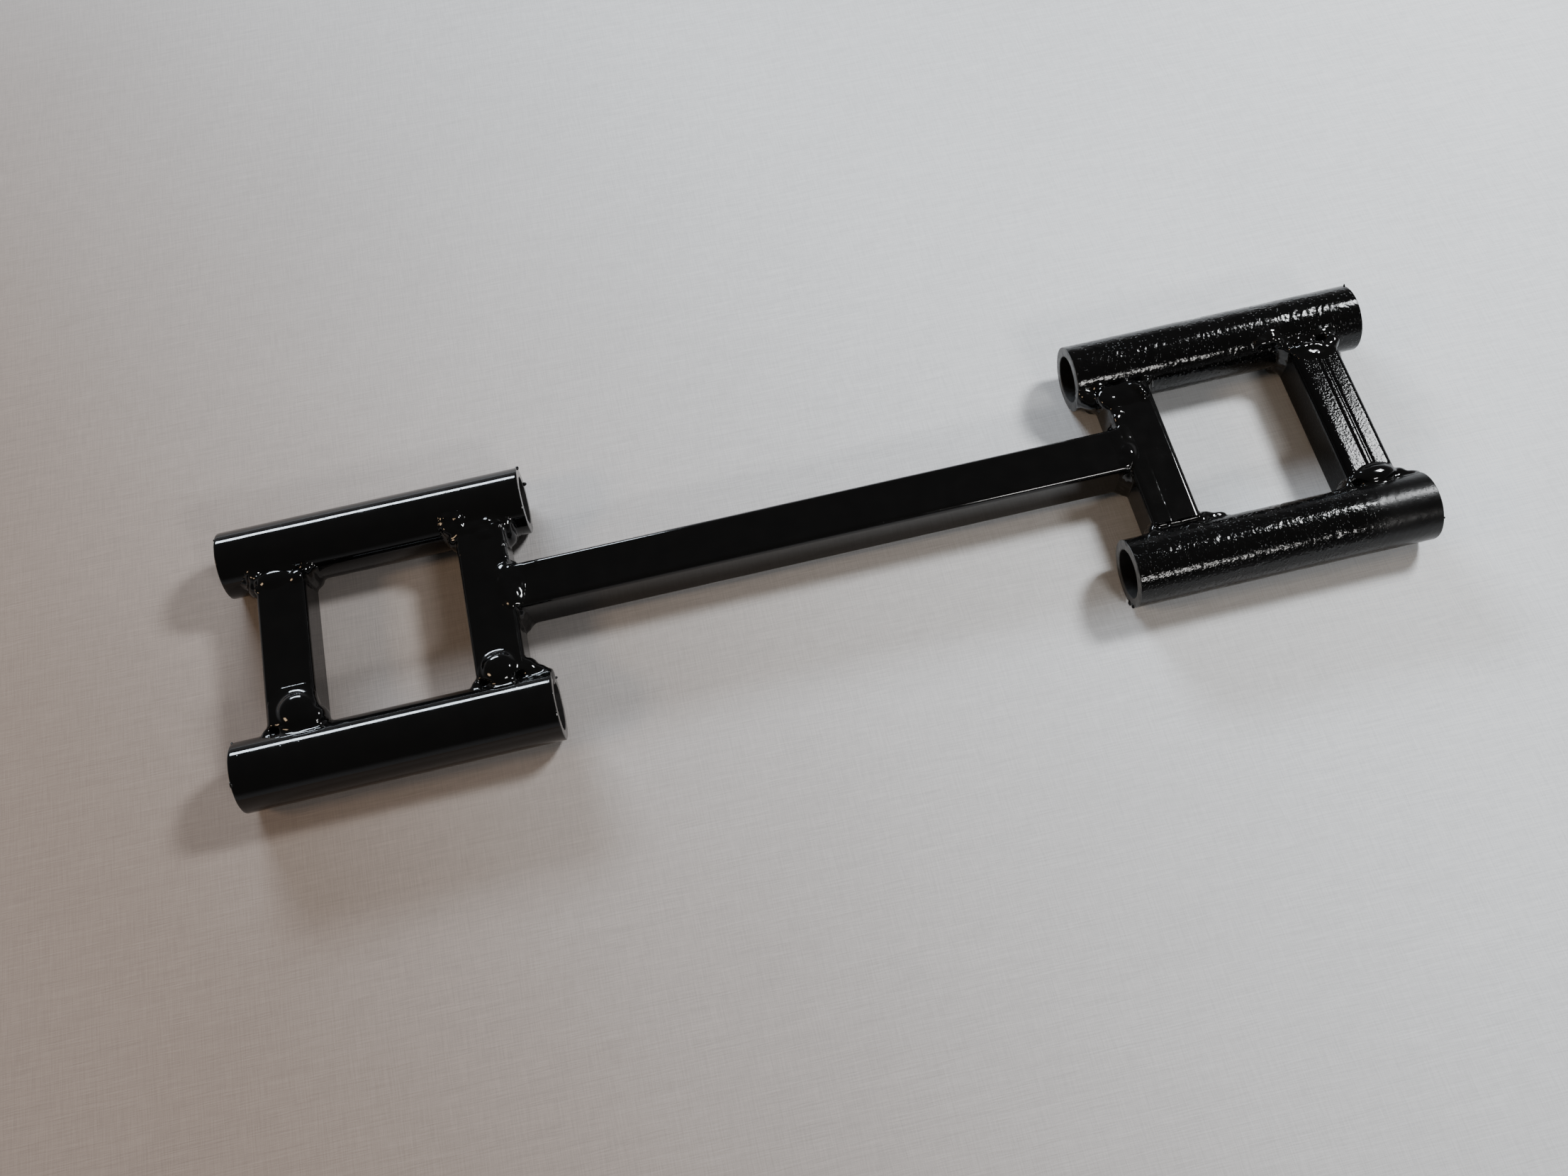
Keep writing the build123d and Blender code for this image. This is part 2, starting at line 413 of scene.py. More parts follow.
def cloth(name):
    """Plain-woven cloth: crossed threads with uneven thickness and faint slubs, painted shade that makes it
    darker and warmer towards the left front, and a painted glow far from the middle.
    """
    material, nodes, links = new_material(name)
    shader = nodes["Principled BSDF"]
    turn = (0, 0, WEAVE_TURN)
    weft_place = place(nodes, links, (THREAD_STRETCH, 1.0, 1), turn)
    warp_place = place(nodes, links, (1.0, THREAD_STRETCH, 1), turn)
    slub_place = place(nodes, links, (SLUB_STRETCH, 1.0, 1), turn)
    weft = noise_node(nodes, links, weft_place, THREAD_SIZE, 2.0, 0.6)
    warp = noise_node(nodes, links, warp_place, THREAD_SIZE, 2.0, 0.6)
    slub = noise_node(nodes, links, slub_place, SLUB_SIZE, 2.0, 0.6)
    broad = noise_node(nodes, links, place(nodes, links), BROAD_SIZE, 2.0)
    both = node(nodes, "ShaderNodeMath", operation="ADD")
    links.new(weft, both.inputs[0])
    links.new(warp, both.inputs[1])
    threads = both.outputs[0]

    # Painted shade: the cloth turns darker and warmer towards the left front, where the light falls off.
    parts = node(nodes, "ShaderNodeSeparateXYZ")
    links.new(place(nodes, links, turn=(0, 0, -PAINTED_SHADE_TURN)), parts.inputs["Vector"])
    painted_lit_share = smooth_range(nodes, links, parts.outputs["X"], PAINTED_SHADE_SPAN)
    tone = two_tone(nodes, links, painted_lit_share, CLOTH_PAINTED_SHADE, CLOTH_PAINTED_LIT)
    tone = shaded(nodes, links, tone, remap(nodes, links, threads, *THREAD_SPAN, *THREAD_SHADE))
    tone = shaded(nodes, links, tone, remap(nodes, links, slub, *NOISE_SPAN, *SLUB_SHADE))
    tone = shaded(nodes, links, tone, remap(nodes, links, broad, *NOISE_SPAN, *BROAD_SHADE))

    away = node(nodes, "ShaderNodeVectorMath", operation="LENGTH")
    links.new(place(nodes, links), away.inputs[0])
    plain = node(nodes, "ShaderNodeMix", data_type="RGBA")
    plain.inputs["B"].default_value = (*CLOTH_FAR, 1)
    links.new(smooth_range(nodes, links, away.outputs["Value"], NEARBY), plain.inputs["Factor"])
    links.new(tone, plain.inputs["A"])
    links.new(plain.outputs["Result"], shader.inputs["Base Color"])
    links.new(bump(nodes, links, threads, THREAD_DEPTH), shader.inputs["Normal"])
    shader.inputs["Roughness"].default_value = CLOTH_ROUGHNESS
    shader.inputs["Specular IOR Level"].default_value = CLOTH_SPECULAR
    shader.inputs["Emission Color"].default_value = (1, 1, 1, 1)
    glow = smooth_range(nodes, links, away.outputs["Value"], SWEEP, BACKDROP[1])
    links.new(glow, shader.inputs["Emission Strength"])
    return material


THIN_COAT_IOR, SATIN_IOR = 1.36, 1.26    # a thinner, duller coat reflects less
GLOSS = black_paint("paint_gloss", (0.04, 0.09), (2.4, 0.008))
BAR_GLOSS = black_paint("paint_bar", (0.05, 0.10), (1.8, 0.010))
PITTED = black_paint("paint_pitted", (0.05, 0.10), (1.3, 0.10), 0.012, (1.4, 0.12), ior=THIN_COAT_IOR)
DULLED = black_paint("paint_dulled", (0.05, 0.10), (1.2, 0.13), 0.012, (1.2, 0.16),
                     dull_between=(192, 206), ior=THIN_COAT_IOR)
SATIN = black_paint("paint_satin", (0.05, 0.08), (0.9, 0.045), nibs=(1.2, 0.035), ior=SATIN_IOR)
WELD = black_paint("paint_weld", (0.04, 0.10), (1.6, 0.008), nibs=None)
SAWN = sawn_steel("sawn_steel")
BORE = bore_coat("bore_overspray")


# ---------------------------------------------------------------- sleeves

END_BEVEL = 0.35
BORE_BEVEL = 0.25
BEVEL_RING = 0.1                         # a ring of points inside the bevel, from end and surface
BORE_START = 0.3                         # first ring of the bore, from the end
SMOOTH_STEP, ROUGH_STEP = 0.9, 0.42      # mesh spacing over a sleeve
WALL_RINGS, BORE_RINGS = 5, 40           # over a sawn end face and along the bore
EASE_BEFORE = {"front": 16, "rear": 4}   # how far before its end a rough sleeve starts to smooth
EASE_LENGTH = 14                         # the length over which it does
RAGGED = 0.05                            # half the unevenness of a sawn end
MEAN_DENT = 0.03                         # mean depth of the surface under the pipe's radius
RUN_DEPTH, LUMP_DEPTH, PIT_DEPTH = 0.13, 0.06, 0.06    # of a rough coat
OUTSIDE, SAWN_FACE, INSIDE = 0, 1, 2     # kinds of surface, and their places in the list of materials


def smooth_dent(along, angle, radius):
    """Depth of the slight waves in a sleeve with an even coat."""
    y, z = radius * np.cos(angle), radius * np.sin(angle)
    wave = noise(along, y, z, (14, 6, 6), 1) * 0.5 + noise(along, y, z, (3.5, 2.5, 2.5), 2) * 0.2
    return MEAN_DENT + 0.03 * wave


def rough_dent(along, angle, radius, smooth_from):
    """Depth of the pits and runs in a sleeve painted over rust, easing off past smooth_from."""
    y, z = radius * np.cos(angle), radius * np.sin(angle)
    slant = along + 0.45 * radius * angle
    runs = 1 - np.abs(noise(slant, 0.35 * radius * angle, 0, (1.1, 1.6, 1), 5))
    lumps = noise(along, y, z, (2.6, 2.2, 2.2), 6)
    fine = noise(along, y, z, 0.8, 7)
    patch = np.clip(0.6 + 0.9 * noise(along, y, z, (13, 9, 9), 8), 0.15, 1)
    ease = np.clip((smooth_from - along) / EASE_LENGTH, 0.25, 1)
    depth = RUN_DEPTH * (1 - runs ** 2) + LUMP_DEPTH * (1 + lumps) + PIT_DEPTH * (1 + fine)
    return MEAN_DENT + ease * patch * depth


def make_sleeve(side, row):
    """A length of pipe: painted outside, sawn end faces and a dark bore, as one closed mesh."""
    sleeve = SLEEVES[side, row]
    rough = side == "right"
    step = ROUGH_STEP if rough else SMOOTH_STEP
    around = int(2 * math.pi * sleeve.radius / step)
    angle = np.arange(around) * 2 * math.pi / around
    start, end, radius, bore = sleeve.start, sleeve.end, sleeve.radius, BORE_RADIUS
    outside = np.linspace(start + END_BEVEL, end - END_BEVEL, int((end - start) / step))
    inside = np.linspace(end - BORE_START, start + BORE_START, BORE_RINGS)
    walls = np.linspace(radius - END_BEVEL, bore + BORE_BEVEL, WALL_RINGS)
    # Rings round the pipe as place along it, radius and kind, from one end over the outside,
    # the other end face and the bore, and back to where they start
    rings = [(start, radius - END_BEVEL, SAWN_FACE)]
    rings += [(start + BEVEL_RING, radius - BEVEL_RING, SAWN_FACE)]
    rings += [(x, radius, OUTSIDE) for x in outside]
    rings += [(end - BEVEL_RING, radius - BEVEL_RING, SAWN_FACE)]
    rings += [(end, r, SAWN_FACE) for r in walls]
    rings += [(x, bore, INSIDE) for x in inside] + [(start, r, SAWN_FACE) for r in walls[::-1][:-1]]
    x, r, kind = (np.array(column)[:, None] for column in zip(*rings))
    x = x + 0 * angle
    turn = angle + 0 * x
    if rough:
        dent = rough_dent(x, turn, radius, end - EASE_BEFORE[row])
    else:
        dent = smooth_dent(x, turn, radius)
    r = r - np.where(r > radius - 0.5, dent, 0) * np.where(kind == OUTSIDE, 1, 0.5)
    ragged = RAGGED * (1 + noise(x, 6 * np.cos(turn), 6 * np.sin(turn), 1.3, 9))
    x = x + np.where(kind == SAWN_FACE, ragged, 0) * np.where(x > (start + end) / 2, -1, 1)
    points = np.stack([x, sleeve.y + r * np.cos(turn), sleeve.z + r * np.sin(turn)], -1).reshape(-1, 3)
    faces = grid_faces(len(rings), around, True)
    label = np.maximum(kind[:, 0], np.roll(kind[:, 0], -1))
    if rough:
        paint = PITTED if row == "rear" else DULLED
    else:
        paint = GLOSS
        label[len(outside) + 1:len(outside) + len(walls) + 2] = OUTSIDE    # that end is painted over
    points, faces, label = add_burrs(sleeve, side, row, points, faces, np.repeat(label, around))
    mesh_piece(f"pipe_{side}_{row}", points, faces, [paint, SAWN, BORE], [sleeve.node],
               label)


# Saw burrs left on the pipe ends: end of the sleeve, angle round it in degrees, and half
# sizes along the pipe, round it and outwards
BURRS = {
    ("left", "rear"): [
        ("end", 30, 1.0, 0.8, 0.8), ("end", -30, 1.0, 0.8, 0.7), ("start", 65, 0.5, 0.5, 0.7),
    ],
    ("left", "front"): [
        ("start", 35, 0.6, 0.7, 0.8), ("start", 120, 0.7, 1.0, 0.9), ("end", -15, 0.9, 0.7, 0.7),
    ],
    ("right", "rear"): [("end", 45, 0.5, 0.5, 1.3)],
    ("right", "front"): [
        ("start", 220, 0.8, 0.9, 1.0), ("start", 235, 0.6, 0.8, 1.1), ("end", 140, 0.5, 0.5, 0.7),
    ],
}
BURR_STEP = 0.22                         # mesh spacing
BURR_INSET, BURR_SUNK = 0.2, 0.4         # its middle, from the sleeve's end and below its surface
BURR_ROOM = 0.8                          # sampled round it
BURR_SIZE, BURR_DEPTH = 0.9, 0.3         # of its unevenness
BURR_SEED = 30
BOX_GAP = 0.02                           # kept between a burr and the CAD model's box


def add_burrs(sleeve, side, row, points, faces, label):
    """Adds the small torn lumps at the rims to a sleeve's mesh."""
    for number, (end, degrees, along, round_half, out) in enumerate(BURRS[side, row]):
        turn = math.radians(degrees)
        x = sleeve.end - BURR_INSET if end == "end" else sleeve.start + BURR_INSET
        radial = np.array([0, math.cos(turn), math.sin(turn)])
        tangent = np.array([0, -math.sin(turn), math.cos(turn)])
        middle = np.array([x, sleeve.y, sleeve.z]) + radial * (sleeve.radius - BURR_SUNK)
        reach = max(along, round_half, out) + BURR_ROOM
        axis = np.arange(-reach, reach, BURR_STEP)
        gx, gy, gz = np.meshgrid(axis, axis, axis, indexing="ij")
        spot = np.stack([gx, gy, gz], -1)
        local = np.stack([gx, spot @ tangent, spot @ radial], -1) / (along, round_half, out)
        field = (np.sqrt((local ** 2).sum(-1)) - 1) * min(along, round_half, out)
        field = field + BURR_DEPTH * noise(gx, gy, gz, BURR_SIZE, BURR_SEED + number)
        at = middle + spot
        for corner, sign in zip(cad_box, (-1, 1)):
            for n in range(3):
                edge = corner[n] / MM - sign * BOX_GAP
                field = np.maximum(field, sign * (at[..., n] - edge))
        extra, quads = surface_net(field.astype(np.float32), middle - reach, BURR_STEP)
        faces = np.concatenate([faces, quads + len(points)])
        points = np.concatenate([points, extra])
        label = np.concatenate([label, np.full(len(quads), OUTSIDE, label.dtype)])
    return points, faces, label


# ---------------------------------------------------------------- square bars

CORNER_POINTS = 9                        # points round each long edge
FACE_STEP = 0.4                          # mesh spacing across a face
CROSSBAR_STEP, CENTRE_BAR_STEP = 0.5, 1.2    # and along the bar
DENT, SATIN_DENT = 0.03, 0.012           # depth of the faces' unevenness
FACES_UP = 0.9                           # least upward part of a direction that counts as the top

# Marks on the tops of the right crossbars, placed outboard of the bar's middle
GROOVES = ((-0.4, 0.3), (2.0, 0.6))      # place and half width of each groove of the outer bar
GROOVE_DEPTH, GROOVE_EDGE = 0.22, 1.4    # its edge in half widths from its middle
ROLL_FROM, ROLL_STEEPNESS = -5.6, 0.05   # where its top starts to fall away to the inboard edge
CREASE_AT, CREASE_HALF, CREASE_DEPTH = -2.1, 0.45, 0.15    # worn crease of the inner bar
CREASE_END, CREASE_FADE = 2.0, 12.0      # its rear end, and the length over which it fades in


def square_profile(half):
    """Points round a square bar, anticlockwise seen along its axis, and their outward directions."""
    points, outward = [], []
    flat = half - BAR_CORNER
    count = int(2 * flat / FACE_STEP)
    for quarter in range(4):
        base = quarter * math.pi / 2
        turn = np.array([[math.cos(base), -math.sin(base)], [math.sin(base), math.cos(base)]])
        for v in np.linspace(-flat, flat, count, endpoint=False)[1:]:
            points.append(turn @ (half, v))
            outward.append(turn @ (1, 0))
        for a in np.linspace(0, math.pi / 2, CORNER_POINTS):
            way = np.array([math.cos(a), math.sin(a)])
            points.append(turn @ ((flat, flat) + BAR_CORNER * way))
            outward.append(turn @ way)
    return np.array(points), np.array(outward)


def make_bar(bar, name, material, lengthwise_step, dent_depth):
    """A square bar with slightly uneven faces, closed at both ends."""
    profile, outward = square_profile(bar.half)
    along = np.linspace(-bar.reach, bar.reach, int(2 * bar.reach / lengthwise_step))
    across = 1 - bar.axis
    rows, columns = len(along), len(profile)
    points = np.zeros((rows, columns, 3))
    ways = np.zeros((rows, columns, 3))
    points[..., bar.axis] = bar.middle[bar.axis] + along[:, None]
    mirror = 1 if bar.axis == 1 else -1
    points[..., across] = bar.middle[across] + mirror * profile[:, 0]
    points[..., 2] = bar.middle[2] + profile[:, 1]
    ways[..., across], ways[..., 2] = mirror * outward[:, 0], outward[:, 1]
    x, y, z = points[..., 0], points[..., 1], points[..., 2]
    wave = noise(x, y, z, 16, 11) * 0.6 + noise(x, y, z, 4.5, 12) * 0.3 + noise(x, y, z, 1.6, 13) * 0.12
    points = points - ways * (dent_depth * (1.05 + wave))[..., None]
    top = ways[..., 2] > FACES_UP
    if bar.node == "crossbar_right_outer":
        for offset, half_width in GROOVES:
            away = np.abs(points[..., 0] - bar.middle[0] - offset) / half_width
            points[..., 2] -= GROOVE_DEPTH * np.clip(GROOVE_EDGE - away, 0, 1) * top
        rolled = np.clip(ROLL_FROM - (points[..., 0] - bar.middle[0]), 0, None)
        points[..., 2] -= ROLL_STEEPNESS * rolled ** 2 * (ways[..., 2] > 0.5)
    if bar.node == "crossbar_right_inner":
        away = np.abs(points[..., 0] - bar.middle[0] - CREASE_AT) / CREASE_HALF
        front = np.clip((CREASE_END - points[..., 1]) / CREASE_FADE, 0, 1)
        worn = 0.5 + 0.3 * noise(points[..., 1], 0, 0, 1.1, 14)
        points[..., 2] -= CREASE_DEPTH * worn * np.clip(1 - away, 0, 1) * front * top
    faces = [list(f) for f in grid_faces(rows, columns, False)]
    faces.append(list(range(columns))[::-1])
    faces.append([(rows - 1) * columns + n for n in range(columns)])
    mesh_piece(name, points.reshape(-1, 3), faces, [material], [bar.node])


# ---------------------------------------------------------------- welds

WELD_STEP = 0.42                         # mesh spacing
FAR = 4.0                                # distance given to empty space
LUMP_REACH = 2.5                         # how far round a lump its distances are worked out
BLEND = 1.3                              # how softly two lumps of weld metal join
WETTING = 1.8                            # how softly the weld metal joins the steel
SPREAD = 0.95                            # how far it may spread over it, as a share of that
SINK = 0.05                              # how deep in the steel the weld's thin edge ends
ROOT = 0.4                               # how much further the metal goes under the steel
CROWN_SHAPE = 2.4                        # 2 for ellipsoids, more for flatter tops
CROWN_SINK = (0.5, 0.3)                  # its middle lies so many heights and millimetres in the steel
OPEN_GROUND = 4.0                        # ground beside the steel, below the middle of the sleeve
SOFTENING = 3                            # rounds of smoothing
COARSE, FINE = (2.3, 0.34), (1.0, 0.13)  # size and depth of the metal's ripples

# Lumps of weld metal on top of each joint: place across the bar, place along it towards +Y
# (from the sleeve's inner edge), half size across, half size along, and height above the steel.
CROWNS = {
    "left_outer_front": [
        (2.2, 3.6, 7.8, 8.0, 3.3), (8.0, 0.4, 4.4, 4.2, 2.4), (1.6, 3.6, 8.4, 9.0, 0.5),
        (-5.6, -0.6, 2.4, 2.2, 0.9), (4.6, -2.6, 5.0, 1.5, 1.0),
    ],
    "left_outer_rear": [
        (-2.4, -1.8, 5.6, 3.6, 1.6), (6.6, -3.0, 2.4, 2.2, 1.0), (-0.6, 1.8, 7.0, 2.6, 1.2),
        (-8.0, 0.0, 3.4, 3.0, 1.5), (-12.4, 1.0, 2.6, 1.3, 0.9), (-9.8, -2.8, 1.5, 1.6, 1.2),
        (-9.2, -5.0, 1.0, 0.9, 0.7),
    ],
    "left_inner_rear": [
        (-10.2, 4.0, 3.8, 3.8, 1.4), (-6.4, 0.8, 1.1, 1.6, 5.4), (-6.4, 3.0, 1.1, 1.8, 2.5),
        (-6.6, 5.2, 1.1, 1.4, 1.4), (-12.8, 3.4, 1.1, 2.0, 1.4),
        (-11.2, 6.4, 1.6, 0.9, 1.3), (-7.4, 5.6, 1.0, 1.0, 1.5), (-11.6, 0.9, 1.3, 0.9, 1.5),
        (-9.4, 3.2, 0.8, 0.8, 1.9), (-1.0, 1.8, 7.6, 3.4, 3.5), (3.8, 2.4, 1.8, 1.6, 3.2),
        (6.2, 1.4, 3.0, 3.0, 3.4), (2.4, -3.0, 2.6, 1.6, 0.6),
    ],
    "left_inner_front": [
        (-0.4, 2.4, 6.8, 6.6, 3.0), (6.0, -0.4, 4.4, 4.0, 1.8), (-4.8, -1.2, 2.4, 1.7, 1.3),
        (1.0, -3.2, 4.0, 1.5, 1.1),
    ],
    "right_inner_rear": [
        (1.4, -3.0, 5.4, 4.8, 1.5), (-6.4, -3.4, 4.8, 4.2, 0.9), (-2.4, -5.0, 3.0, 3.2, 0.8),
        (2.8, -2.0, 1.7, 1.7, 2.5), (4.2, -3.8, 1.8, 2.0, 2.9), (5.4, -6.4, 1.6, 2.2, 2.6),
        (-8.8, -4.2, 3.8, 4.2, 1.2), (0.0, 0.2, 7.0, 2.8, 1.3), (-6.0, -11.4, 1.0, 0.6, 0.25),
        (-8.2, -13.6, 0.8, 0.6, 0.3), (-9.4, 2.6, 2.0, 0.9, 0.6),
    ],
    "right_inner_front": [
        (0.4, -1.6, 7.4, 3.4, 1.5), (6.4, -1.6, 4.0, 3.0, 1.5), (-6.0, -1.8, 3.6, 2.8, 1.3),
        (4.6, -3.8, 2.4, 1.0, 1.0), (-10.4, -3.2, 2.2, 1.0, 0.9),
    ],
    "right_outer_rear": [
        (-18.6, 4.6, 2.6, 1.2, 1.2), (-14.8, 5.6, 1.8, 2.0, 1.6), (-12.4, 3.8, 2.4, 1.6, 1.7),
        (-9.4, 2.2, 2.6, 1.5, 1.7), (-7.8, 0.0, 2.6, 1.8, 2.1), (-3.8, -1.4, 3.8, 2.0, 1.9),
        (0.6, -1.8, 3.4, 2.2, 1.9), (-3.2, -4.4, 3.2, 1.4, 0.9), (1.8, -5.4, 3.2, 1.4, 0.9),
        (5.0, -3.4, 3.0, 2.4, 1.6), (4.6, 0.4, 2.2, 1.8, 2.4), (-0.8, 2.0, 3.6, 1.5, 1.7),
        (6.4, 3.8, 3.2, 1.2, 1.1), (8.6, -0.6, 2.8, 3.0, 1.6), (-5.0, 2.8, 2.8, 1.4, 1.3),
    ],
    "right_outer_front": [
        (1.2, 0.2, 7.2, 3.9, 2.3), (7.6, -1.0, 4.4, 3.0, 1.5),
        (-5.4, -0.8, 2.8, 2.4, 1.4), (-12.0, -2.8, 3.0, 0.8, 0.8),
    ],
}

# Lumps in the corners beside the bars, as places across the bar, along it and above the
# resting surface, and half sizes across, along and upwards.
SPILLS = {
    "left_outer_front": [(10.4, 1.4, 19.0, 2.6, 3.6, 4.2)],
    "left_outer_rear": [(-10.8, -1.4, 15.5, 3.2, 3.0, 5.0)],
    "left_inner_rear": [(10.0, -1.6, 14.0, 2.8, 3.0, 5.6), (-10.4, -1.6, 17.0, 2.6, 2.2, 4.6),
                        (8.6, -8.6, 21.0, 0.7, 0.8, 0.7), (8.7, -14.0, 21.3, 0.7, 0.6, 0.6),
                        (-8.8, -6.2, 21.0, 0.6, 0.8, 0.7), (-8.7, -8.6, 21.0, 0.5, 0.7, 0.6)],
    "left_inner_front": [(10.4, 1.4, 17.0, 3.4, 4.6, 5.4), (13.6, -0.8, 16.5, 3.6, 3.4, 4.8),
                         (16.4, -2.4, 17.5, 2.2, 2.4, 3.8)],
    "right_inner_rear": [(-12.2, -1.2, 17.0, 4.6, 3.4, 4.4), (-15.6, 0.6, 17.0, 3.2, 2.8, 4.4)],
    "right_inner_front": [(11.6, 0.6, 16.5, 4.0, 2.6, 4.2), (16.4, 0.2, 16.5, 4.4, 1.4, 3.2)],
    "right_outer_rear": [],
    "right_outer_front": [(11.2, 0.2, 17.5, 3.6, 2.4, 4.0), (14.8, -1.4, 18.0, 4.4, 1.6, 2.8)],
}

# The same for the joints of the centre bar, across it towards +X from the contact face
CENTRE_CROWNS = {
    "left": [
        (-1.8, 2.6, 3.8, 6.4, 1.0), (-1.0, -3.4, 3.6, 5.0, 1.2), (-3.4, 2.0, 1.1, 3.6, 1.3),
        (0.8, -3.4, 0.9, 3.2, 1.5), (2.9, 1.0, 0.8, 2.6, 0.6), (-1.0, -7.2, 1.2, 1.0, 0.7),
        (6.4, 7.0, 0.7, 0.5, 0.3), (9.4, 7.0, 0.6, 0.5, 0.3),
    ],
    "right": [
        (0.4, 4.0, 2.6, 4.2, 0.12), (1.0, -2.2, 2.8, 4.4, 1.7), (-0.8, -5.8, 2.4, 1.8, 0.8),
    ],
}


# How lumpy each joint's metal is, as a share of the ripples' depth
LUMPINESS = {
    "left_outer_front": 0.08, "left_outer_rear": 0.2, "left_inner_rear": 0.3, "left_inner_front": 0.25,
    "right_inner_rear": 0.4, "right_inner_front": 0.25, "right_outer_rear": 0.8,
    "right_outer_front": 0.08, "centre_left": 0.25, "centre_right": 0.3,
}

# Radius of the bead down the left side of each bar, and down its right side
SIDE_BEADS = {
    "left_outer_front": (1.6, 2.2), "left_outer_rear": (2.6, 2.4), "left_inner_rear": (2.2, 2.6),
    "left_inner_front": (1.7, 2.8), "right_inner_rear": (1.7, 1.8), "right_inner_front": (1.6, 2.4),
    "right_outer_rear": (1.4, 1.7), "right_outer_front": (1.7, 2.3),
}
UNDER_BEAD = 2.7                         # and of the one underneath
CENTRE_BEADS = {-1: (2.2, 2.6), 1: (2.7, 3.1)}    # range of radii in front of and behind the centre bar
BEAD_STEP = 1.6                          # from one ripple of a bead to the next
BEAD_FOOT, BEAD_TOP = 5.0, 21.0          # heights between which the beads down the sides run
CENTRE_BEAD_TOP = 19.0
WANDER = 0.15                            # how far a ripple may lie off its line
RIPPLE_SIZES, RIPPLE_HEIGHTS = (0.94, 1.06), (0.7, 1.0)    # shares of a bead's radius
BESIDE = 1.04                            # how far out a bead runs, in half widths of the bar
BEAD_INSET, BEAD_LIFT = 0.6, 0.6         # into the sleeve, and least space under a bead
JOINT_ACROSS = 23.0                      # how far its metal may reach to the sides of a joint
OVER_SLEEVE, OVER_BAR = 12.0, 21.0       # over the sleeve, and along the bar
FLOOR_GAP, TOP_GAP = 0.3, 0.12           # kept under the metal and above it
HEADROOM = 0.6                           # how far the sampled space goes above the object
CENTRE_ACROSS, CENTRE_FRONT, CENTRE_REAR = 17, 14, 16    # the same reaches at the centre bar
CENTRE_FLOOR_GAP = 0.8
CENTRE_BEAD_OUT, CENTRE_BEAD_HEIGHT = 0.2, 0.8    # off the bar's side, and as a share of the radius
CENTRE_UNDER_SPAN = 8.5                  # half the length of the bead under the centre bar
CENTRE_UNDER_HALVES, CENTRE_UNDER_THICK = (4.0, 1.6), (0.9, 1.4)


def soft_union(a, b, blend):
    """The nearer of two surfaces, with a rounded valley where they meet."""
    share = np.clip(blend - np.abs(a - b), 0, None) / blend
    return np.minimum(a, b) - share * share * blend / 4


def soften(field, rounds):
    """Rounds off the creases between lumps, as a coat of paint does."""
    for _ in range(rounds):
        for axis in range(3):
            wide = np.pad(field, [(1, 1) if n == axis else (0, 0) for n in range(3)], mode="edge")
            count = field.shape[axis]
            before, after = (np.take(wide, range(start, start + count), axis) for start in (0, 2))
            field = field / 2 + (before + after) / 4
    return field


class Casting:
    """A box of space sampled on a grid, into which lumps of weld metal are put."""

    def __init__(self, low, high):
        self.low = np.array(low, float)
        counts = np.ceil((np.array(high) - low) / WELD_STEP).astype(int) + 1
        self.axes = [self.low[n] + np.arange(counts[n]) * WELD_STEP for n in range(3)]
        self.metal = np.full(tuple(counts), FAR, np.float32)

    def grid(self):
        """The places sampled along each axis."""
        return np.meshgrid(*self.axes, indexing="ij", sparse=True)

    def lump(self, middle, halves, crown=2.0):
        """Adds an ellipsoid, or with a larger crown a rounder-shouldered one with a flatter top."""
        halves = np.asarray(halves, float)
        reach = halves + LUMP_REACH
        part = tuple(slice(*np.searchsorted(axis, (middle[n] - reach[n], middle[n] + reach[n])))
                     for n, axis in enumerate(self.axes))
        if any(p.stop <= p.start for p in part):
            return
        spots = np.meshgrid(*[axis[p] - middle[n] for n, (axis, p) in enumerate(zip(self.axes, part))],
                            indexing="ij", sparse=True)
        level = np.sqrt((spots[0] / halves[0]) ** 2 + (spots[1] / halves[1]) ** 2)
        near = (level ** crown + np.abs(spots[2] / halves[2]) ** crown) ** (1 / crown)
        steep = np.sqrt(sum((s / h ** 2) ** 2 for s, h in zip(spots, halves)))
        away = near * (near - 1) / np.maximum(steep, 1e-6)
        self.metal[part] = soft_union(self.metal[part], away.astype(np.float32), BLEND)

    def pour(self, steel, seed, rough):
        """The mesh of the metal outside the steel, wetted onto it."""
        x, y, z = self.grid()
        metal = soften(self.metal, SOFTENING)
        for offset, (size, depth) in enumerate((COARSE, FINE)):
            metal = metal - rough * depth * noise(x, y, z, size, seed + offset)
        steel = steel + SINK
        skin = soft_union(metal, steel, WETTING)
        above = z + 0 * steel - (TOP - TOP_GAP)
        field = np.maximum.reduce([skin, metal - SPREAD * WETTING, -steel - ROOT, above])
        return surface_net(field.astype(np.float32), self.low, WELD_STEP)


def bar_distance(bar, x, y, z):
    """Distance outside a square bar, negative inside."""
    spots = (x, y)
    across = np.abs(spots[1 - bar.axis] - bar.middle[1 - bar.axis]) - bar.half + BAR_CORNER
    upward = np.abs(z - bar.middle[2]) - bar.half + BAR_CORNER
    outside = np.sqrt(np.maximum(across, 0) ** 2 + np.maximum(upward, 0) ** 2)
    side = outside + np.minimum(np.maximum(across, upward), 0) - BAR_CORNER
    end = np.abs(spots[bar.axis] - bar.middle[bar.axis]) - bar.reach
    return np.maximum(side, end)


def sleeve_distance(sleeve, x, y, z):
    """Distance outside a sleeve, negative inside, as if it were solid."""
    side = np.sqrt((y - sleeve.y) ** 2 + (z - sleeve.z) ** 2) - sleeve.radius
    end = np.maximum(sleeve.start - x, x - sleeve.end)
    return np.maximum(side, end)


